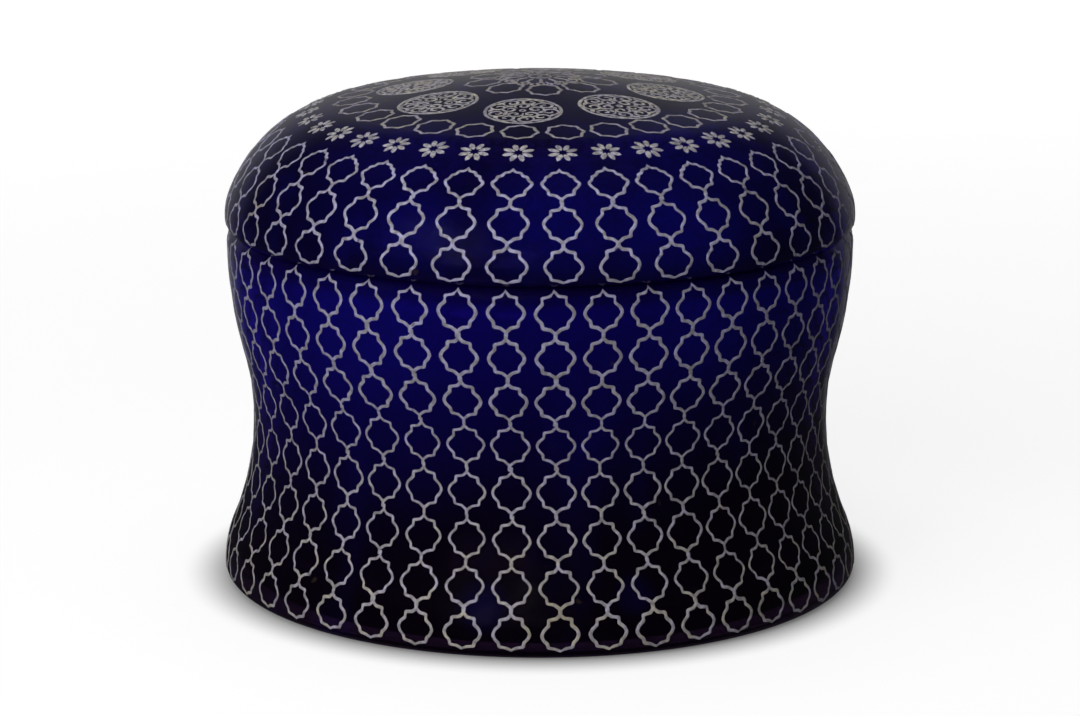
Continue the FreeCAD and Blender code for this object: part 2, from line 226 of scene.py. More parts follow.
@dataclass(frozen=True)
class BlueGlass(Finish):
    """Blown cobalt glass with painted light and shade: near black low down, a painted blue glow higher up, lighter
    painted blue patches, and painted shade by the seam.
    """

    name: str = "deep_blue_glass"
    deep: Colour = (0.006, 0.0010, 0.011)
    blue: Colour = (0.009, 0.0026, 0.225)
    light: Colour = (0.016, 0.012, 0.420)
    speck: Colour = (0.10, 0.072, 0.04)
    deep_at: float = 2.0 * MM
    blue_at: float = 70.0 * MM
    falloff: float = 2.5
    # Painted shade: how far the blue glow falls off towards the right side.
    shade_to_right: float = 0.14
    drift: float = 14.0 * MM
    # Painted shade round the seam, under the lid's overhang: its height, reach and strength.
    seam_at: float = 78.5 * MM
    seam_shade_reach: float = 6.5 * MM
    seam_shade_share: float = 0.78
    blue_glow_spots: tuple[BlueGlowSpot, ...] = ()
    drawn_out: float = 0.35
    slow_scale: float = 38.0
    # Painted light: the lighter blue streaks and patches.
    cloud_scale: float = 60.0
    cloud_edges: Point = (0.52, 0.74)
    cloud_least: float = 0.06
    cloud_more: float = 0.38
    speck_scale: float = 230.0
    speck_edges: Point = (0.76, 0.80)
    speck_share: float = 0.6
    bend: float = 1.45
    clear_share: float = 0.75
    polish: float = 0.04
    smear_scale: float = 55.0
    smear_edges: Point = (0.5, 0.75)
    smear: float = 0.12
    smear_least: float = 0.4
    fine_scale: float = 420.0
    ripple: float = 0.10
    ripple_depth: float = 0.6 * MM

    def fill(self, graph: Graph) -> None:
        """Add glass with painted light and shade (a blue glow that rises with height, lighter blue patches, darker
        by the seam), faint smears, seeds and the slow ripple of blown work.
        """
        place = graph.wire("ShaderNodeTexCoord", output="Object")
        across, _, height = graph.split(place)
        drawn = graph.wire("ShaderNodeMapping", None, {"Vector": place, "Scale": (1.0, 1.0, self.drawn_out)})
        slow = graph.noise(drawn, self.slow_scale, 1.0)
        fine = graph.noise(place, self.fine_scale, 3.0)
        # Painted light: lighter blue streaks, drawn out upright, in place of light refracted through the glass.
        cloud = graph.steps(graph.noise(drawn, self.cloud_scale), *self.cloud_edges)
        smears = graph.steps(graph.noise(place, self.smear_scale, 4.0), *self.smear_edges)
        specks = graph.steps(graph.noise(place, self.speck_scale, 1.0), *self.speck_edges)
        # Painted light and shade: the blue glow rises with height and falls off towards the right side, in place of
        # light passing through the glass.
        level = height - across * self.shade_to_right + (slow - 0.5) * self.drift
        blue_glow = graph.math("POWER", graph.steps(level, self.deep_at, self.blue_at), self.falloff)
        # Painted shade: a darker band round the seam, under the lid's overhang.
        seam_shade = 1.0 - graph.steps(graph.math("ABSOLUTE", height - self.seam_at), 0.0, self.seam_shade_reach)
        spread = 1.0 - seam_shade * self.seam_shade_share
        # Painted light: the streaks and the glow spots lighten the blue.
        lighter = cloud * (self.cloud_least + blue_glow * self.cloud_more)
        for spot in self.blue_glow_spots:
            lighter = graph.math("MAXIMUM", lighter, spot.strength(graph, place))
        body = graph.blend(blue_glow * spread, self.deep, self.blue)
        glass = graph.blend(lighter * spread, body, self.light)
        bump = graph.wire("ShaderNodeBump", None,
                          {"Strength": self.ripple, "Distance": self.ripple_depth, "Height": slow})
        surface = graph.wire("ShaderNodeBsdfPrincipled", None, {
            "Base Color": graph.blend(specks * self.speck_share, glass, self.speck),
            "Roughness": self.polish + smears * self.smear * (self.smear_least + fine),
            "IOR": self.bend,
            "Transmission Weight": self.clear_share,
            "Normal": bump})
        graph.node("ShaderNodeOutputMaterial", None, {"Surface": surface})


@dataclass(frozen=True)
class BrushedSilver(Finish):
    """Silver brushed on in narrow lines, dulled, with a yellowish tarnish in places and small worn spots, and the
    painted blue glow of the glass showing in a band of heights.
    """

    name: str = "brushed_silver"
    cool: Colour = (0.55, 0.51, 0.64)
    warm: Colour = (0.58, 0.54, 0.45)
    dull: Colour = (0.29, 0.27, 0.29)
    # Painted light: the silver's colour where the blue glow of the glass shows through.
    blue_glow: Colour = (0.42, 0.42, 0.76)
    tarnish: Colour = (0.36, 0.31, 0.16)
    bare: Colour = (0.02, 0.02, 0.07)
    blue_glow_from: Point = (8.0 * MM, 76.0 * MM)
    blue_glow_to: Point = (99.0 * MM, 106.0 * MM)
    blue_glow_share: float = 0.6
    patch_scale: float = 300.0
    patch_edges: Point = (0.42, 0.62)
    mottle_scale: float = 900.0
    mottle_edges: Point = (0.3, 0.7)
    tarnish_scale: float = 48.0
    tarnish_edges: Point = (0.6, 0.78)
    tarnish_share: float = 0.5
    wear_scale: float = 340.0
    wear_edges: Point = (0.68, 0.76)
    wear_share: float = 0.8
    metal: float = 0.3
    sheen: float = 0.55
    sheen_change: float = 0.3
    grain: float = 0.35
    grain_depth: float = 0.05 * MM

    def fill(self, graph: Graph) -> None:
        """Add mottled silver with tarnish and wear."""
        place = graph.wire("ShaderNodeTexCoord", output="Object")
        _, _, height = graph.split(place)
        mottle = graph.noise(place, self.mottle_scale, 3.0)
        patchy = graph.steps(graph.noise(place, self.patch_scale), *self.patch_edges)
        aging = graph.steps(graph.noise(place, self.tarnish_scale, 3.0), *self.tarnish_edges)
        wear = graph.steps(graph.noise(place, self.wear_scale), *self.wear_edges)
        # Painted light: in this band of heights the silver takes on the blue glow of the glass behind it.
        blue_glow_band = graph.steps(height, *self.blue_glow_from) * (1.0 - graph.steps(height, *self.blue_glow_to))
        full = graph.blend(blue_glow_band * self.blue_glow_share, graph.blend(patchy, self.cool, self.warm), self.blue_glow)
        silver = graph.blend(graph.steps(mottle, *self.mottle_edges), self.dull, full)
        aged = graph.blend(aging * self.tarnish_share, silver, self.tarnish)
        bump = graph.wire("ShaderNodeBump", None,
                          {"Strength": self.grain, "Distance": self.grain_depth, "Height": mottle})
        surface = graph.wire("ShaderNodeBsdfPrincipled", None, {
            "Base Color": graph.blend(wear * self.wear_share, aged, self.bare),
            "Metallic": self.metal - wear * self.metal,
            "Roughness": self.sheen + (mottle - 0.5) * self.sheen_change,
            "Normal": bump})
        graph.node("ShaderNodeOutputMaterial", None, {"Surface": surface})


@dataclass(frozen=True)
class Arc:
    """A round stretch of a turned profile, traced from one angle to another."""

    across: float
    up: float
    radius: float
    start: float
    end: float

    def points(self, step: float) -> list[Point]:
        """Return places along the arc, at most a step apart, without its last end."""
        count = max(2, math.ceil(abs(self.end - self.start) * self.radius / step))
        angles = [self.start + (self.end - self.start) * i / count for i in range(count)]
        return [(self.across + self.radius * math.cos(a), self.up + self.radius * math.sin(a)) for a in angles]

    def tip(self) -> Point:
        """Return the arc's last end."""
        return self.across + self.radius * math.cos(self.end), self.up + self.radius * math.sin(self.end)


class Profile:
    """The outside of a turned piece as one line in the XZ plane, from its foot to its top."""

    def __init__(self, name: str, arcs: Sequence[Arc], step: float = 0.3 * MM) -> None:
        """Trace the arcs and measure the line.

        Args:
            name: The name of the curve that carries the line.
            arcs: The profile's arcs from the foot up.
            step: How far apart the line's points lie.
        """
        self.name = name
        places = [p for arc in arcs for p in arc.points(step)] + [arcs[-1].tip()]
        self.line = np.array(places)
        self.run = np.concatenate(([0.0], np.cumsum(np.hypot(*np.diff(self.line, axis=0).T))))

    def run_at(self, height: float) -> float:
        """Return how far along the line a height is reached."""
        return float(np.interp(height, self.line[:, 1], self.run))

    def curve(self) -> bpy.types.Object:
        """Return the line as a curve object, for geometry nodes to sample."""
        data = bpy.data.curves.new(self.name, "CURVE")
        data.dimensions = "3D"
        spline = data.splines.new("POLY")
        spline.points.add(len(self.line) - 1)
        for place, (across, up) in zip(spline.points, self.line):
            place.co = (across, 0.0, up, 1.0)
        return put(self.name, data)


def heading(origin: Point, target: Point) -> float:
    """Return the angle from one point of a profile towards another."""
    return math.atan2(target[1] - origin[1], target[0] - origin[0])


def meet(first: Point, reach: float, second: Point, second_reach: float) -> Point:
    """Return the point to the left of the line between two points, at two given distances from them."""
    gap = math.dist(first, second)
    along = (reach ** 2 - second_reach ** 2 + gap ** 2) / (2 * gap)
    off = math.sqrt(max(reach ** 2 - along ** 2, 0.0))
    unit = ((second[0] - first[0]) / gap, (second[1] - first[1]) / gap)
    return first[0] + unit[0] * along - unit[1] * off, first[1] + unit[1] * along + unit[0] * off


class GlassPiece:
    """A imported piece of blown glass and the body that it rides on."""

    node: str
    rides: str
    finish: BlueGlass

    def dress(self) -> None:
        """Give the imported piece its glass."""
        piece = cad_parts[self.node]
        piece.data.materials.clear()
        piece.data.materials.append(self.finish.material())
        LOG.info("%s dressed in %s", self.node, self.finish.name)


@dataclass
class GlassBody(GlassPiece):
    """The waisted body with its flared foot."""

    node: str = "glass_body"
    rides: str = "body"
    diameter: float = 140.0 * MM
    foot_round: float = 2.5 * MM
    foot_start: float = -1.1
    waist_inset: float = 6.8 * MM
    waist_height: float = 36.2 * MM
    foot_turn_share: float = 0.733
    shoulder_inset: float = 1.6 * MM
    shoulder_drop: float = 3.3 * MM
    shoulder_turn_share: float = 0.375
    rim_roll: float = 3.75 * MM
    seat_height: float = 78.5 * MM
    # Spots of painted light, where the blue glow through the glass is brighter.
    finish: BlueGlass = BlueGlass(blue_glow_spots=(
        BlueGlowSpot((-36.0, -56.0, 68.0), 27.0, 0.36), BlueGlowSpot((-12.0, -68.0, 11.0), 7.0, 0.16),
        BlueGlowSpot((-26.0, -61.0, 46.0), 24.0, 0.10), BlueGlowSpot((20.0, -66.0, 13.0), 6.0, 0.12),
        BlueGlowSpot((34.0, -58.0, 66.0), 16.0, 0.25)))

    def profile(self) -> Profile:
        """Return the outside from under the foot's edge to the seat."""
        foot = self.diameter / 2
        waist = (foot - self.waist_inset, self.waist_height)
        shoulder = (foot - self.shoulder_inset, self.seat_height - self.shoulder_drop)
        low = ((waist[1] - self.foot_round) ** 2 + self.waist_inset ** 2) / (2 * self.waist_inset)
        hollow_low = low * self.foot_turn_share
        swell = low - hollow_low
        inset, rise = shoulder[0] - waist[0], shoulder[1] - waist[1]
        high = (rise ** 2 + inset ** 2) / (2 * inset)
        hollow_high = high * self.shoulder_turn_share
        bulge = high - hollow_high
        swell_at = (foot - swell, self.foot_round)
        low_at = (waist[0] + hollow_low, waist[1])
        high_at = (waist[0] + hollow_high, waist[1])
        bulge_at = (shoulder[0] - bulge, shoulder[1])
        low_turn, high_turn = heading(swell_at, low_at), heading(bulge_at, high_at)
        return Profile("body_outside", [
            Arc(foot - self.foot_round, self.foot_round, self.foot_round, self.foot_start, 0.0),
            Arc(*swell_at, swell, 0.0, low_turn),
            Arc(*low_at, hollow_low, math.pi + low_turn, math.pi),
            Arc(*high_at, hollow_high, math.pi, math.pi + high_turn),
            Arc(*bulge_at, bulge, high_turn, 0.0),
            Arc(shoulder[0] - self.rim_roll, shoulder[1], self.rim_roll, 0.0,
                math.asin(self.shoulder_drop / self.rim_roll))])


@dataclass
class GlassLid(GlassPiece):
    """The low domed lid."""

    node: str = "glass_lid"
    rides: str = "lid"
    diameter: float = 137.5 * MM
    seat_height: float = 78.5 * MM
    height: float = 31.8 * MM
    bulge_height: float = 2.3 * MM
    rim_bevel: float = 0.6 * MM
    rim_roll: float = 6.9 * MM
    haunch: float = 11.7 * MM
    shoulder: float = 30.9 * MM
    crown: float = 426.0 * MM
    apex: float = 80.0 * MM
    apex_reach: float = 8.0 * MM
    # Spots of painted light on the lid, where the blue glow through the glass is brighter.
    finish: BlueGlass = BlueGlass(
        "deep_blue_lid_glass", blue=(0.005, 0.0015, 0.058), deep=(0.009, 0.004, 0.076), deep_at=106.0 * MM,
        blue_at=98.0 * MM, falloff=1.0, shade_to_right=0.0, seam_shade_reach=4.5 * MM, seam_shade_share=0.72, blue_glow_spots=(
            BlueGlowSpot((4.0, -65.0, 93.0), 26.0, 0.36), BlueGlowSpot((-27.0, -62.0, 90.0), 17.0, 0.34),
            BlueGlowSpot((29.0, -62.0, 90.0), 28.0, 0.41), BlueGlowSpot((-30.0, -46.0, 103.0), 30.0, 0.20),
            BlueGlowSpot((30.0, -46.0, 104.0), 34.0, 0.28)))

    def profile(self) -> Profile:
        """Return the outside from the rim's bevel to the middle of the crown."""
        wide = (self.diameter / 2, self.seat_height + self.bulge_height)
        apex_at = (0.0, self.top() - self.apex)
        apex_turn = math.acos(self.apex_reach / self.apex)
        crown_at = (apex_at[0] - (self.crown - self.apex) * math.cos(apex_turn),
                    apex_at[1] - (self.crown - self.apex) * math.sin(apex_turn))
        haunch_at = (wide[0] - self.haunch, wide[1])
        shoulder_at = meet(crown_at, self.crown - self.shoulder, haunch_at, self.shoulder - self.haunch)
        crown_turn, haunch_turn = heading(crown_at, shoulder_at), heading(shoulder_at, haunch_at)
        roll_turn = -math.asin((self.bulge_height - self.rim_bevel) / self.rim_roll)
        return Profile("lid_outside", [
            Arc(wide[0] - self.rim_roll, wide[1], self.rim_roll, roll_turn, 0.0),
            Arc(*haunch_at, self.haunch, 0.0, haunch_turn),
            Arc(*shoulder_at, self.shoulder, haunch_turn, crown_turn),
            Arc(*crown_at, self.crown, crown_turn, apex_turn),
            Arc(*apex_at, self.apex, apex_turn, math.pi / 2)])

    def top(self) -> float:
        """Return the height of the middle of the crown."""
        return self.seat_height + self.height


class Drawing:
    """A flat drawing of raised brush strokes, in its own plane, with heights above the glass."""

    sharpest = 0.62
    merge = 1e-7

    def __init__(self, rise: float = 0.11 * MM, sink: float = 0.05 * MM) -> None:
        """Start an empty drawing.

        Args:
            rise: How far the middle of a stroke stands above the glass.
            sink: How far its edges lie below the glass.
        """
        self.rise, self.sink = rise, sink
        self.points: list[tuple[float, float, float]] = []
        self.faces: list[tuple[int, ...]] = []

    def stroke(self, path: Sequence[Point], width: float, closed: bool = True, taper: float = 1.0) -> None:
        """Draw a line of one brush width with a soft ridge.

        Args:
            path: The middle of the line.
            width: How wide the line is.
            closed: Whether the line returns to its start.
            taper: The width at an open line's ends, as a share of the full width.
        """
        places = np.array(path)
        count = len(places)
        before, after = np.roll(places, 1, axis=0), np.roll(places, -1, axis=0)
        if not closed:
            before[0], after[-1] = places[0], places[-1]
        into, out = places - before, after - places
        if not closed:
            into[0], out[-1] = out[0], into[-1]
        into /= np.linalg.norm(into, axis=1, keepdims=True)
        out /= np.linalg.norm(out, axis=1, keepdims=True)
        side = np.stack([into[:, 1] + out[:, 1], -into[:, 0] - out[:, 0]], axis=1)
        side /= np.linalg.norm(side, axis=1, keepdims=True)
        mitre = np.clip((side * np.stack([into[:, 1], -into[:, 0]], axis=1)).sum(1), self.sharpest, 1.0)
        wide = np.full(count, width / 2)
        if not closed:
            ends = np.minimum(np.arange(count), np.arange(count)[::-1]) / max(1, (count - 1) / 2)
            wide *= taper + (1 - taper) * np.sqrt(ends)
        reach = (wide / mitre)[:, None]
        base = len(self.points)
        for middle, offset in zip(places, side * reach):
            self.points += [(*(middle + offset), -self.sink), (*middle, self.rise),
                            (*(middle - offset), -self.sink)]
        for i in range(count if closed else count - 1):
            a, b = base + 3 * i, base + 3 * ((i + 1) % count)
            self.faces += [(a, b, b + 1, a + 1), (a + 1, b + 1, b + 2, a + 2)]

    def leaf(self, middle: Point, turn: float, length: float, width: float, spread: int = 3) -> None:
        """Draw one lens-shaped dab of the brush.

        Args:
            middle: The middle of the dab.
            turn: The direction of its length.
            length: Its length.
            width: Its greatest width.
            spread: How many places along it have a width.
        """
        along = np.linspace(-0.5, 0.5, spread + 2)
        half = 0.5 * width * np.sqrt(np.clip(1 - (2 * along) ** 2, 0, 1))
        cos, sin = math.cos(turn), math.sin(turn)
        base = len(self.points)
        for share, reach in zip(along, half):
            for offset, level in ((-reach, -self.sink), (0.0, self.rise), (reach, -self.sink)):
                x, y = share * length, offset
                edge = -self.sink if reach == 0 else level
                self.points.append((middle[0] + x * cos - y * sin, middle[1] + x * sin + y * cos, edge))
        for i in range(spread + 1):
            a, b = base + 3 * i, base + 3 * (i + 1)
            self.faces += [(a, b, b + 1, a + 1), (a + 1, b + 1, b + 2, a + 2)]

    def object(self, name: str) -> bpy.types.Object:
        """Return the drawing as a mesh object that faces up."""
        mesh = bpy.data.meshes.new(name)
        mesh.from_pydata(self.points, [], self.faces)
        shape = bmesh.new()
        shape.from_mesh(mesh)
        bmesh.ops.remove_doubles(shape, verts=shape.verts, dist=self.merge)
        shape.normal_update()
        bmesh.ops.reverse_faces(shape, faces=[f for f in shape.faces if f.normal.z < 0])
        shape.to_mesh(mesh)
        shape.free()
        return put(name, mesh)


def polar(reach: float, turn: float) -> Point:
    """Return the flat place at a distance and an angle from the middle."""
    return reach * math.cos(turn), reach * math.sin(turn)


def circle(radius: float, count: int) -> list[Point]:
    """Return points round a circle."""
    turns = [2 * math.pi * i / count for i in range(count)]
    return [(radius * math.sin(t), -radius * math.cos(t)) for t in turns]


class StarForm(Enum):
    """How a star of the lattice is finished."""

    CHAIN = "tied above and below, for the chains"
    FIRST = "pointed above, for the highest row of the body"
    ARCH = "arched above, for the highest row of the lid"
    LAST = "closed below, for the lowest rows"


# The right side of a star from the top down, in millimetres, with each corner's rounding as a share.
STEPPED_HIGH: Corners = ((0.0, 4.2, 0.0), (0.8, 3.38, 0.1), (2.35, 3.1, 0.1), (2.45, 1.95, 0.08), (3.5, 1.0, 0.15))
POINTED_HIGH: Corners = ((0.0, 4.7, 0.0), (0.85, 3.55, 0.12), (2.45, 3.25, 0.1), *STEPPED_HIGH[3:])
ARCHED_HIGH: Corners = ((0.0, 3.75, 0.0), (0.5, 3.05, 0.15), (1.6, 2.85, 0.12), (2.05, 2.0, 0.1),
                        (2.85, 1.65, 0.12), (3.1, 0.8, 0.12))
SIDE_CORNER: tuple[float, float, float] = (3.95, 0.0, 0.22)
STEPPED_LOW: Corners = ((3.55, -1.0, 0.15), (2.72, -1.85, 0.08), (2.55, -2.95, 0.12), (1.15, -3.25, 0.1),
                        (0.0, -4.2, 0.0))
CLOSED_LOW: Corners = ((3.55, -1.0, 0.15), (2.75, -1.7, 0.08), (2.5, -2.7, 0.12), (1.1, -2.95, 0.1),
                       (0.0, -3.5, 0.0))


@dataclass
class Star:
    """One star outline of the lattice, stepped as the brush left it."""

    form: StarForm
    half_pitch: float
    stretch: Point = (1.0, 1.0)
    line: float = 0.83 * MM
    neck_line: float = 0.95 * MM
    neck_taper: float = 0.9
    neck_lap: float = 0.4 * MM
    high_neck: float = 3.9 * MM
    low_neck: float = -4.0 * MM

    def corners(self) -> Corners:
        """Return the corners of the right side for the star's form."""
        high = {StarForm.FIRST: POINTED_HIGH, StarForm.ARCH: ARCHED_HIGH}.get(self.form, STEPPED_HIGH)
        low = CLOSED_LOW if self.form is StarForm.LAST else STEPPED_LOW
        return (*high, SIDE_CORNER, *low)

    def necks(self) -> list[list[Point]]:
        """Return the short lines that tie the star to its neighbours above and below."""
        necks = []
        for end, bare in ((self.high_neck, (StarForm.FIRST, StarForm.ARCH)), (self.low_neck, (StarForm.LAST,))):
            if self.form not in bare:
                start = end * self.stretch[1]
                stop = math.copysign(self.half_pitch + self.neck_lap, end)
                necks.append([(0.0, start), (0.0, (start + stop) / 2), (0.0, stop)])
        return necks

    def path(self) -> list[Point]:
        """Return the outline's middle line with its corners softened."""
        right = self.corners()
        corners = [*right, *((-across, up, soft) for across, up, soft in reversed(right[1:-1]))]
        places = np.array([c[:2] for c in corners]) * self.stretch * MM
        path: list[Point] = []
        for i, (_, _, soft) in enumerate(corners):
            here, before, after = places[i], places[i - 1], places[(i + 1) % len(corners)]
            if soft:
                path += [tuple(here + (before - here) * soft), tuple(here + (after - here) * soft)]
            else:
                path.append(tuple(here))
        return path

    def object(self, name: str) -> bpy.types.Object:
        """Return the star as a flat mesh object."""
        drawing = Drawing()
        drawing.stroke(self.path(), self.line)
        for neck in self.necks():
            drawing.stroke(neck, self.neck_line, closed=False, taper=self.neck_taper)
        return drawing.object(name)


class Repeat:
    """A geometry node tree with named inputs, grown into plain meshes."""

    title = "repeat"
    sockets = {"Motif": "Object", "Profile": "Object", "First Turn": "Float", "Tilt": "Float",
               "Size Jitter": "Float", "Wander": "Float", "Seed": "Int", "Material": "Material"}
    hand_scales = (330.0, 70.0)
    hand_shares = (0.8, 1.6)
    seed_step = 0.37

    def __init__(self) -> None:
        """Build the tree."""
        self.tree = bpy.data.node_groups.new(self.title, "GeometryNodeTree")
        self.graph = Graph(self.tree)
        self.keys: dict[str, str] = {}
        for name, kind in self.sockets.items():
            socket = self.tree.interface.new_socket(name=name, in_out="INPUT", socket_type=f"NodeSocket{kind}")
            self.keys[name] = socket.identifier
        self.tree.interface.new_socket(name="Geometry", in_out="OUTPUT", socket_type="NodeSocketGeometry")
        entry = self.graph.node("NodeGroupInput")
        self.given = {name: Wire(self.graph, entry.outputs[name]) for name in self.sockets}
        self.graph.node("NodeGroupOutput", None, {0: self.lay()})

    def lay(self) -> Wire:
        """Add the tree's nodes and return its geometry."""
        raise NotImplementedError

    def scatter(self, count: Wire, turn: Wire, marks: dict[str, Wire], place: Wire | None) -> Wire:
        """Put a slightly turned and sized copy of the motif on each point.

        Args:
            count: How many points there are.
            turn: How far each copy is turned in its own plane.
            marks: Values that each copy carries, by name.
            place: Where each point lies, or nothing for the origin.

        Returns:
            The realised geometry.
        """
        graph, given = self.graph, self.given
        points = graph.wire("GeometryNodePoints", None,
                            {"Count": count} | ({"Position": place} if place else {}))
        for name, value in marks.items():
            points = graph.wire("GeometryNodeStoreNamedAttribute", {"data_type": "FLOAT", "domain": "POINT"},
                                {"Geometry": points, "Name": name, "Value": value})
        tilt = self.random(-1.0, 1.0, 0) * given["Tilt"]
        size = 1.0 + self.random(-1.0, 1.0, 1) * given["Size Jitter"]
        spin = graph.wire("FunctionNodeEulerToRotation", None, {0: graph.join(0.0, 0.0, turn + tilt)})
        motif = graph.wire("GeometryNodeObjectInfo", None, {"Object": given["Motif"]}, "Geometry")
        copies = graph.wire("GeometryNodeInstanceOnPoints", None,
                            {"Points": points, "Instance": motif, "Rotation": spin,
                             "Scale": graph.join(size, size, 1.0)})
        return graph.wire("GeometryNodeRealizeInstances", None, {0: copies})

    def random(self, low: float, high: float, shift: int) -> Wire:
        """Return a seeded random number for each point."""
        seed = self.given["Seed"] + float(shift)
        return self.graph.wire("FunctionNodeRandomValue", {"data_type": "FLOAT"}, {2: low, 3: high, 8: seed}, 1)

    def wander(self, x: Wire, y: Wire) -> tuple[Wire, Wire]:
        """Return a place moved as an unsteady hand would move it."""
        graph = self.graph
        at = graph.join(x, y, self.given["Seed"] * self.seed_step)
        fine, slow = (graph.split(graph.noise(at, scale, 1.0, 1)) for scale in self.hand_scales)
        drift = [(a - 0.5) * self.hand_shares[0] + (b - 0.5) * self.hand_shares[1]
                 for a, b in zip(fine[:2], slow[:2])]
        return x + drift[0] * self.given["Wander"], y + drift[1] * self.given["Wander"]

    def sample(self, run: Wire) -> tuple[Wire, Wire, Wire, Wire]:
        """Return the reach and height of a place along the profile, and the way out and up that it runs."""
        side = self.graph.wire("GeometryNodeObjectInfo", None, {"Object": self.given["Profile"]}, "Geometry")
        found = self.graph.node("GeometryNodeSampleCurve", {"mode": "LENGTH"}, {"Curves": side, "Length": run})
        reach, _, height = self.graph.split(Wire(self.graph, found.outputs["Position"]))
        out, _, rise = self.graph.split(Wire(self.graph, found.outputs["Tangent"]))
        return reach, height, out, rise

    def wrap(self, run: Wire, angle: Wire, lift: Wire) -> Wire:
        """Return where a flat place lies on the turned outside.

        Args:
            run: How far along the profile it is.
            angle: How far round it is.
            lift: How far it stands off the glass.

        Returns:
            The place as a vector.
        """
        graph = self.graph
        reach, height, out, rise = self.sample(run)
        away = reach + rise * lift
        return graph.join(away * graph.math("SINE", angle), away * graph.math("COSINE", angle) * -1.0,
                          height - out * lift)

    def close(self, geometry: Wire, place: Wire) -> Wire:
        """Move the geometry to its place, smooth it and give it its material."""
        moved = self.graph.wire("GeometryNodeSetPosition", None, {"Geometry": geometry, "Position": place})
        soft = self.graph.wire("GeometryNodeSetShadeSmooth", None, {0: moved})
        return self.graph.wire("GeometryNodeSetMaterial", None, {0: soft, "Material": self.given["Material"]})

    def grow(self, name: str, values: dict[str, Any]) -> bpy.types.Mesh:
        """Evaluate the tree once with the given inputs.

        Args:
            name: The new mesh's name.
            values: A value for each named input.

        Returns:
            The result as a plain mesh.
        """
        host = put(name, bpy.data.meshes.new(f"{name}_host"))
        modifier = host.modifiers.new("repeat", "NODES")
        modifier.node_group = self.tree
        for key, value in values.items():
            modifier[self.keys[key]] = value
        graph = bpy.context.evaluated_depsgraph_get()
        mesh = bpy.data.meshes.new_from_object(host.evaluated_get(graph), depsgraph=graph)
        host.modifiers.remove(modifier)
        bpy.data.objects.remove(host)
        return mesh


class SideRows(Repeat):
    """Rows of a motif round the side of a turned piece, laid on its profile."""

    title = "rows_on_side"
    sockets = Repeat.sockets | {
        "Columns": "Int", "First Row": "Int", "Rows": "Int", "First Run": "Float", "Row Step": "Float",
        "Row Bow": "Float", "Row Turn": "Float", "Skew": "Float", "Spread": "Float"}
    bow_rows = 7
    girth = 65.0 * MM

    def lay(self) -> Wire:
        """Spread the motif over columns and rows and wrap it round the profile."""
        graph, given = self.graph, self.given
        index = graph.wire("GeometryNodeInputIndex")
        band = graph.math("FLOOR", (index + 0.5) / given["Columns"])
        column = index - band * given["Columns"]
        row = band + given["First Row"]
        even = given["First Turn"] + column * (2 * math.pi) / given["Columns"] + row * given["Row Turn"]
        skewed = even + given["Skew"] * (graph.math("COSINE", even) - 1.0)
        turn = skewed + given["Spread"] * graph.math("SINE", even)
        bow = graph.math("SINE", row * (2 * math.pi / self.bow_rows)) * given["Row Bow"]
        run = given["First Run"] - row * given["Row Step"] + bow
        copies = self.scatter(given["Columns"] * given["Rows"], index * 0.0, {"turn": turn, "run": run}, None)
        turn, run = (graph.wire("GeometryNodeInputNamedAttribute", {"data_type": "FLOAT"}, {"Name": name})
                     for name in ("turn", "run"))
        x, y, z = graph.split(graph.wire("GeometryNodeInputPosition"))
        moved_x, moved_y = self.wander(turn * self.girth + x, run + y)
        reach = self.sample(moved_y)[0]
        return self.close(copies, self.wrap(moved_y, turn + (moved_x - turn * self.girth) / reach, z))


class CrownRing(Repeat):
    """A ring of a motif on the lid's flat crown, kept true to its flat drawing."""

    title = "ring_on_crown"
    sockets = Repeat.sockets | {"Whole Run": "Float", "Count": "Int", "Ring": "Float"}

    def lay(self) -> Wire:
        """Spread the motif round the ring and lower it onto the crown."""
        graph, given = self.graph, self.given
        turn = given["First Turn"] + graph.wire("GeometryNodeInputIndex") * (2 * math.pi) / given["Count"]
        place = graph.join(graph.math("SINE", turn) * given["Ring"],
                           graph.math("COSINE", turn) * given["Ring"] * -1.0, 0.0)
        copies = self.scatter(given["Count"], turn, {}, place)
        x, y, z = graph.split(graph.wire("GeometryNodeInputPosition"))
        moved_x, moved_y = self.wander(x, y)
        away = graph.math("SQRT", moved_x * moved_x + moved_y * moved_y)
        angle = graph.math("ARCTAN2", moved_x, moved_y * -1.0)
        return self.close(copies, self.wrap(given["Whole Run"] - away, angle, z))


def settle(name: str, body: str, meshes: Sequence[bpy.types.Mesh], finish: Finish) -> None:
    """Join meshes into one finished piece that rides on a body.

    Args:
        name: The piece's name.
        body: The body that carries it.
        meshes: What the piece is made of.
        finish: The finish that it gets.
    """
    shape = bmesh.new()
    for mesh in meshes:
        shape.from_mesh(mesh)
    for face in shape.faces:
        face.material_index = 0
    joined = bpy.data.meshes.new(name)
    shape.to_mesh(joined)
    shape.free()
    joined.materials.append(finish.material())
    piece = put(name, joined)
    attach(piece, body)
    LOG.info("%s: %d faces on %s", name, len(joined.polygons), body)


def clear(*helpers: bpy.types.Object) -> None:
    """Remove the flat drawings and curves that the finished pieces no longer need."""
    for helper in helpers:
        bpy.data.objects.remove(helper)


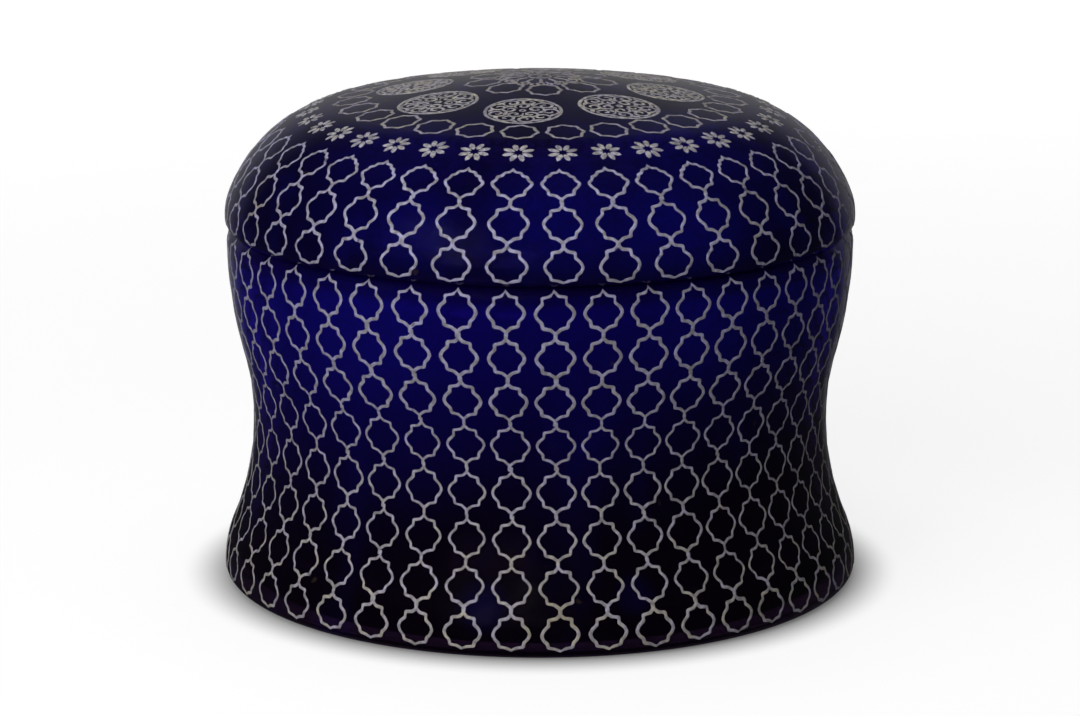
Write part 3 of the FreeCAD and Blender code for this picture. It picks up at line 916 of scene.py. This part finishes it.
@dataclass
class BodyLattice:
    """Eight rows of stars that hang in chains round the body."""

    rows: SideRows
    body: GlassBody
    silver: BrushedSilver
    columns: int = 43
    chained: int = 6
    top_height: float = 73.0 * MM
    row_step: float = 9.84 * MM
    row_bow: float = 0.3 * MM
    first_turn: float = math.radians(2.5)
    row_turn: float = math.radians(0.14)
    skew: float = 0.05
    spread: float = 0.0
    tilt: float = 0.035
    size_jitter: float = 0.03
    wander: float = 0.35 * MM
    seed: int = 3

    def build(self) -> None:
        """Make the lattice as one piece."""
        profile = self.body.profile()
        curve = profile.curve()
        common = {"Profile": curve, "Columns": self.columns, "First Run": profile.run_at(self.top_height),
                  "Row Step": self.row_step, "Row Bow": self.row_bow, "First Turn": self.first_turn,
                  "Row Turn": self.row_turn, "Skew": self.skew, "Spread": self.spread, "Tilt": self.tilt,
                  "Size Jitter": self.size_jitter, "Wander": self.wander, "Seed": self.seed,
                  "Material": self.silver.material()}
        meshes, stars = [], []
        for form, start, count in self.plan():
            star = Star(form, self.row_step / 2).object(f"body_star_{start}")
            stars.append(star)
            meshes.append(self.rows.grow(f"body_rows_{start}", common | {
                "Motif": star, "First Row": start, "Rows": count}))
        settle("body_lattice", self.body.rides, meshes, self.silver)
        clear(curve, *stars)

    def plan(self) -> list[tuple[StarForm, int, int]]:
        """Return the form, the first row and the number of rows of each band."""
        return [(StarForm.FIRST, 0, 1), (StarForm.CHAIN, 1, self.chained), (StarForm.LAST, self.chained + 1, 1)]


@dataclass
class LidLattice:
    """Three rows of stars round the lid's side, and the ring of rosettes above them."""

    rows: SideRows
    lid: GlassLid
    silver: BrushedSilver
    # A brighter copy of the silver for the rosettes: painted highlight.
    painted_lit: BrushedSilver
    columns: int = 38
    heights: tuple[float, float, float] = (98.0 * MM, 90.8 * MM, 82.6 * MM)
    half_pitch: float = 4.75 * MM
    stretch: Point = (1.03, 0.98)
    line: float = 0.80 * MM
    first_turn: float = math.radians(-5.5)
    skew: float = -0.008
    spread: float = 0.020
    tilt: float = 0.04
    size_jitter: float = 0.03
    wander: float = 0.32 * MM
    seed: int = 11
    rosettes: int = 35
    rosette_height: float = 102.8 * MM
    rosette_turn: float = math.radians(-5.0)
    rosette_tilt: float = 0.2
    rosette_jitter: float = 0.06
    rosette_seed: int = 19
    rosette_reach: float = 3.5 * MM
    rosette_middle: float = 0.6 * MM
    petals: int = 8
    petal_width: float = 1.55 * MM

    def build(self) -> None:
        """Make the lattice and the rosettes."""
        profile = self.lid.profile()
        curve = profile.curve()
        common = {"Profile": curve, "First Row": 0, "Rows": 1, "Row Step": 0.0, "Row Bow": 0.0, "Row Turn": 0.0,
                  "Wander": self.wander, "Material": self.silver.material()}
        meshes, stars = [], []
        for number, form in enumerate((StarForm.ARCH, StarForm.CHAIN, StarForm.LAST)):
            star = Star(form, self.half_pitch, self.stretch, self.line).object(f"lid_star_{number}")
            stars.append(star)
            meshes.append(self.rows.grow(f"lid_row_{number}", common | {
                "Motif": star, "Columns": self.columns, "First Run": profile.run_at(self.heights[number]),
                "First Turn": self.first_turn, "Skew": self.skew, "Spread": self.spread, "Tilt": self.tilt,
                "Size Jitter": self.size_jitter, "Seed": self.seed}))
        settle("lid_lattice", self.lid.rides, meshes, self.silver)
        rosette = self.rosette()
        ring = self.rows.grow("rosette_ring", common | {
            "Motif": rosette, "Columns": self.rosettes, "First Run": profile.run_at(self.rosette_height),
            "First Turn": self.rosette_turn, "Skew": 0.0, "Spread": 0.0, "Tilt": self.rosette_tilt,
            "Size Jitter": self.rosette_jitter, "Seed": self.rosette_seed})
        settle("lid_rosettes", self.lid.rides, [ring], self.painted_lit)
        clear(curve, rosette, *stars)

    def rosette(self) -> bpy.types.Object:
        """Return one flat rosette of separate petals round a bare middle."""
        drawing = Drawing()
        inner, outer = self.rosette_middle, self.rosette_reach
        for i in range(self.petals):
            turn = 2 * math.pi * (i + 0.5) / self.petals
            drawing.leaf(polar((inner + outer) / 2, turn), turn, outer - inner, self.petal_width)
        return drawing.object("rosette")


@dataclass
class CrownOrnament:
    """The rings of loops and roundels on the crown, round the star in the middle."""

    ring: CrownRing
    lid: GlassLid
    silver: BrushedSilver
    # A brighter copy of the silver for the roundels: painted highlight.
    painted_lit: BrushedSilver
    line: float = 0.98 * MM
    lace_line: float = 1.0 * MM
    tilt: float = 0.06
    size_jitter: float = 0.03
    wander: float = 0.4 * MM
    seeds: tuple[int, int, int, int] = (23, 29, 31, 37)
    loops: int = 27
    loop_ring: float = 41.1 * MM
    loop_turn: float = math.radians(-6.0)
    loop_half: Point = (3.7 * MM, 3.9 * MM)
    loop_points: int = 32
    loop_waves: int = 4
    loop_swell: float = 0.08
    loop_hollow: float = 0.05
    inner_loops: int = 9
    inner_ring: float = 12.65 * MM
    inner_turn: float = math.radians(4.0)
    inner_half: Point = (3.4 * MM, 3.9 * MM)
    roundels: int = 8
    roundel_ring: float = 27.65 * MM
    roundel_turn: float = math.radians(-7.4)
    roundel_radius: float = 8.75 * MM
    roundel_points: int = 40
    roundel_scrolls: tuple[tuple[float, float, int, float], ...] = ((0.70, 0.235, 9, 0.0), (0.36, 0.20, 5, 0.4))
    roundel_leaves: tuple[tuple[float, int, float, float], ...] = ((0.86, 9, 0.5, 1.2), (0.5, 5, 0.9, 0.7))
    leaf_length: float = 2.3 * MM
    leaf_width: float = 1.3 * MM
    eye_radius: float = 0.6 * MM
    eye_line: float = 0.6 * MM
    eye_points: int = 10
    scroll_points: int = 15
    scroll_start: float = 0.6
    scroll_sweep: float = 2.6 * math.pi
    scroll_least: float = 0.22
    scroll_growth: float = 0.95
    scroll_taper: float = 0.4
    star_radius: float = 9.0 * MM
    star_spokes: int = 12
    star_ring: float = 0.26
    star_ring_line: float = 0.6272 * MM
    star_ring_points: int = 20
    spoke_at: float = 0.55
    spoke_length: float = 0.5
    spoke_width: float = 1.2 * MM
    tip_at: float = 0.9
    tip_turn: float = 0.26
    tip_length: float = 0.22
    curl_at: float = 0.82
    curl_reach: float = 0.15
    middle_dot: float = 1.6 * MM

    def build(self) -> None:
        """Make the crown's pieces from the edge to the middle."""
        profile = self.lid.profile()
        curve = profile.curve()
        plan = (("lid_loops", self.loop(self.loop_half), self.loops, self.loop_ring, self.loop_turn),
                ("lid_roundels", self.roundel(), self.roundels, self.roundel_ring, self.roundel_turn),
                ("lid_inner_loops", self.loop(self.inner_half), self.inner_loops, self.inner_ring, self.inner_turn),
                ("lid_star", self.star(), 1, 0.0, 0.0))
        for (name, motif, count, ring, turn), seed in zip(plan, self.seeds):
            mesh = self.ring.grow(f"{name}_mesh", {
                "Motif": motif, "Profile": curve, "Whole Run": float(profile.run[-1]), "Count": count, "Ring": ring,
                "First Turn": turn, "Tilt": self.tilt, "Size Jitter": self.size_jitter, "Wander": self.wander,
                "Seed": seed, "Material": self.silver.material()})
            # The roundels get the brighter copy of the silver: painted highlight.
            finish = self.painted_lit if name == "lid_roundels" else self.silver
            settle(name, self.lid.rides, [mesh], finish)
            clear(motif)
        clear(curve)

    def loop(self, half: Point) -> bpy.types.Object:
        """Return one cartouche, a round loop with eight small points."""
        path = []
        for i in range(self.loop_points):
            turn = 2 * math.pi * i / self.loop_points
            wave = self.loop_waves * turn
            swell = 1.0 + self.loop_swell * abs(math.cos(wave)) ** 3 - self.loop_hollow * math.sin(wave) ** 2
            path.append((half[0] * swell * math.sin(turn), half[1] * swell * math.cos(turn)))
        drawing = Drawing()
        drawing.stroke(path, self.line)
        return drawing.object("cartouche")

    def roundel(self) -> bpy.types.Object:
        """Return one roundel, a ring filled with scrolls and leaves."""
        drawing = Drawing()
        edge = self.roundel_radius - self.lace_line / 2
        drawing.stroke(circle(edge, self.roundel_points), self.lace_line)
        for ring, reach, count, shift in self.roundel_scrolls:
            self.scrolls(drawing, edge * ring, edge * reach, count, shift)
        for ring, count, start, slant in self.roundel_leaves:
            for i in range(count):
                turn = 2 * math.pi * (i + start) / count
                drawing.leaf(polar(edge * ring, turn), turn + slant, self.leaf_length, self.leaf_width)
        drawing.stroke(circle(self.eye_radius, self.eye_points), self.eye_line)
        return drawing.object("roundel")

    def scrolls(self, drawing: Drawing, ring: float, reach: float, count: int, shift: float) -> None:
        """Draw curling tendrils round a ring.

        Args:
            drawing: The drawing that they go to.
            ring: How far from the middle their eyes lie.
            reach: How large a curl is.
            count: How many there are.
            shift: How far the first is turned.
        """
        for i in range(count):
            turn = 2 * math.pi * i / count + shift
            eye = polar(ring, turn)
            way = 1 if i % 2 else -1
            path = []
            for share in np.linspace(0.0, 1.0, self.scroll_points):
                radius = reach * (self.scroll_least + self.scroll_growth * share)
                across, up = polar(radius, turn + self.scroll_start + share * self.scroll_sweep * way)
                path.append((eye[0] + across, eye[1] + up))
            drawing.stroke(path, self.lace_line, closed=False, taper=self.scroll_taper)

    def star(self) -> bpy.types.Object:
        """Return the star in the middle, petals and small curls round a ring."""
        drawing = Drawing()
        reach = self.star_radius
        drawing.stroke(circle(reach * self.star_ring, self.star_ring_points), self.star_ring_line)
        for i in range(self.star_spokes):
            turn = 2 * math.pi * i / self.star_spokes
            tip = turn + self.tip_turn
            drawing.leaf(polar(reach * self.spoke_at, turn), turn, reach * self.spoke_length, self.spoke_width)
            drawing.leaf(polar(reach * self.tip_at, tip), tip, reach * self.tip_length, self.leaf_width)
        self.scrolls(drawing, reach * self.curl_at, reach * self.curl_reach, self.star_spokes, 0.0)
        drawing.leaf((0.0, 0.0), 0.0, self.middle_dot, self.middle_dot)
        return drawing.object("middle_star")


def ray_kinds(graph: Graph) -> tuple[Wire, Wire]:
    """Return 1 for rays from the camera and through glass, and 1 for rays that a glossy surface mirrors."""
    rays = graph.node("ShaderNodeLightPath")
    camera, glossy, through = (Wire(graph, rays.outputs[name])
                               for name in ("Is Camera Ray", "Is Glossy Ray", "Is Transmission Ray"))
    return graph.math("MAXIMUM", camera, through), glossy * (1.0 - through)


@dataclass(frozen=True)
class PaleFloor(Finish):
    """A white surface that keeps the box's shadow, with a painted contact shadow round its foot, and reads as white
    to the eye of the camera.
    """

    name: str = "pale_floor"
    near_glow: float = 0.80
    far_glow: float = 0.98
    faded: Point = (0.15, 1.1)
    shade: float = 0.30
    paper_scale: float = 9.0
    paper_shade: float = 0.312
    mirrored_near: float = 0.015
    mirrored_far: float = 0.17
    mirrored_way: Point = (0.62, 1.0)
    # Painted contact shadow round the foot: the radii where it starts and ends, and how deep it is.
    painted_contact: Point = (65.5 * MM, 80.5 * MM)
    painted_contact_depth: float = 0.95

    def fill(self, graph: Graph) -> None:
        """Add a matt white that glows for rays from the camera and through glass, less close to the box, and
        darkens in a painted contact shadow round the foot.
        """
        seen, mirrored = ray_kinds(graph)
        place = graph.wire("ShaderNodeTexCoord", output="Object")
        reach = graph.wire("ShaderNodeVectorMath", {"operation": "LENGTH"}, {0: place}, "Value")
        paper = graph.noise(place, self.paper_scale, 3.0)
        colour = graph.blend(paper, (self.shade,) * 3, (self.paper_shade,) * 3)
        matt = graph.wire("ShaderNodeBsdfDiffuse", None, {"Color": colour})
        # Painted contact shadow: the floor's glow darkens close round the box's foot.
        lit = graph.steps(reach, *self.painted_contact) * self.painted_contact_depth + (1.0 - self.painted_contact_depth)
        level = self.near_glow + graph.steps(reach, *self.faded) * (self.far_glow - self.near_glow)
        glow = graph.wire("ShaderNodeEmission", None, {"Strength": seen * level * lit})
        both = graph.wire("ShaderNodeAddShader", None, {0: matt, 1: glow})
        behind = graph.split(place)[1] / reach
        far = graph.steps(behind, *self.mirrored_way) * (self.mirrored_far - self.mirrored_near)
        room = graph.wire("ShaderNodeEmission", None, {"Strength": far + self.mirrored_near})
        surface = graph.wire("ShaderNodeMixShader", None, {0: mirrored, 1: both, 2: room})
        graph.node("ShaderNodeOutputMaterial", None, {"Surface": surface})


@dataclass(frozen=True)
class SoftLamp:
    """A square lamp that faces the box, with its place and side in metres and its power in watts."""

    name: str
    place: tuple[float, float, float]
    side: float
    power: float
    aim_height: float = 55.0 * MM

    def hang(self) -> None:
        """Add the lamp to the scene, unseen in the glass."""
        data = bpy.data.lights.new(self.name, "AREA")
        data.shape, data.size, data.energy = "SQUARE", self.side, self.power
        made = put(self.name, data)
        across, along, up = self.place
        drop = math.atan2(self.aim_height - up, math.hypot(across, along))
        made.location = self.place
        made.visible_glossy = False
        made.rotation_euler = (math.pi / 2 + drop, 0.0, math.atan2(-along, -across) - math.pi / 2)


@dataclass
class Studio:
    """A pale floor, a white surround and soft lamps, mainly from the left and the front."""

    finish: PaleFloor = PaleFloor()
    floor_half: float = 4.0
    surround: float = 0.05
    mirrored_room: float = 0.014
    wall_fade: Point = (0.12, 0.7)
    lamps: tuple[SoftLamp, ...] = (SoftLamp("left_lamp", (-0.80, -0.85, 0.72), 0.9, 5.6),
                                   SoftLamp("front_lamp", (-0.42, -1.27, 0.52), 0.8, 9.2),
                                   SoftLamp("top_lamp", (-0.1, 0.15, 1.30), 1.2, 6.0))

    def build(self) -> None:
        """Make the floor, the surround and the lamps."""
        half = self.floor_half
        mesh = bpy.data.meshes.new("floor")
        mesh.from_pydata([(-half, -half, 0.0), (half, -half, 0.0), (half, half, 0.0), (-half, half, 0.0)],
                         [], [(0, 1, 2, 3)])
        mesh.materials.append(self.finish.material())
        floor = put("floor", mesh)
        floor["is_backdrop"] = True
        self.sky()
        for lamp in self.lamps:
            lamp.hang()
        LOG.info("studio: floor and %d lamps", len(self.lamps))

    def sky(self) -> None:
        """Make the surround, white to the camera, dim as a light and dimmer still where the glass mirrors it."""
        world = bpy.data.worlds.new("surround")
        bpy.context.scene.world = world
        world.use_nodes = True
        graph = Graph(world.node_tree)
        seen, mirrored = ray_kinds(graph)
        _, back, up = graph.split(graph.wire("ShaderNodeTexCoord", output="Generated"))
        wall = graph.steps(back, *self.finish.mirrored_way) * (1.0 - graph.steps(up, *self.wall_fade))
        room = self.mirrored_room + wall * (self.finish.mirrored_far - self.mirrored_room)
        level = seen + mirrored * room + (1.0 - seen - mirrored) * self.surround
        white = graph.wire("ShaderNodeBackground", None, {"Color": (1.0, 1.0, 1.0, 1.0), "Strength": level})
        graph.node("ShaderNodeOutputWorld", None, {"Surface": white})


@dataclass
class PhotoCamera:
    """The viewpoint of the photograph, a little above the box and straight in front of it."""

    distance: float = 0.820
    height: float = 0.245574
    pitch: float = math.radians(13.592)
    focal_pixels: float = 3816.26
    sensor: float = 36.0

    def build(self) -> None:
        """Make the camera and choose it for the scene."""
        data = bpy.data.cameras.new("camera")
        data.sensor_width = self.sensor
        data.lens = self.focal_pixels * self.sensor / PHOTO_WIDTH
        made = put("camera", data)
        made.location = (0.0, -self.distance, self.height)
        made.rotation_euler = (math.pi / 2 - self.pitch, 0.0, 0.0)
        bpy.context.scene.camera = made


def corners(box: Any) -> list[list[float]]:
    """Return a box's two corners as plain lists."""
    return [[float(value) for value in corner] for corner in box]


def main() -> None:
    """Build the box's finishes, ornament and studio in order, and measure its size."""
    logging.basicConfig(level=logging.INFO, format="%(name)s: %(message)s")
    packed = corners(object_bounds())
    bpy.context.scene.view_settings.view_transform = "Standard"
    body, lid, rows = GlassBody(), GlassLid(), SideRows()
    silver = BrushedSilver()
    # A brighter, bluer copy of the silver for the lid's side: painted light.
    painted_lit_lid = BrushedSilver("painted_lit_lid_silver", blue_glow=(0.52, 0.52, 0.86))
    # A brighter copy of the silver for the rosettes and roundels: painted highlight where they face up to the
    # light.
    painted_lit = BrushedSilver("painted_lit_silver", cool=(0.66, 0.63, 0.70), warm=(0.74, 0.70, 0.60),
                          blue_glow=(0.72, 0.70, 0.78))
    body.dress()
    lid.dress()
    BodyLattice(rows, body, silver).build()
    LidLattice(rows, lid, painted_lit_lid, painted_lit).build()
    CrownOrnament(CrownRing(), lid, silver, painted_lit).build()
    Studio().build()
    PhotoCamera().build()
    {"cad": packed, "visual": corners(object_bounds())}


if __name__ == "__main__":
    main()
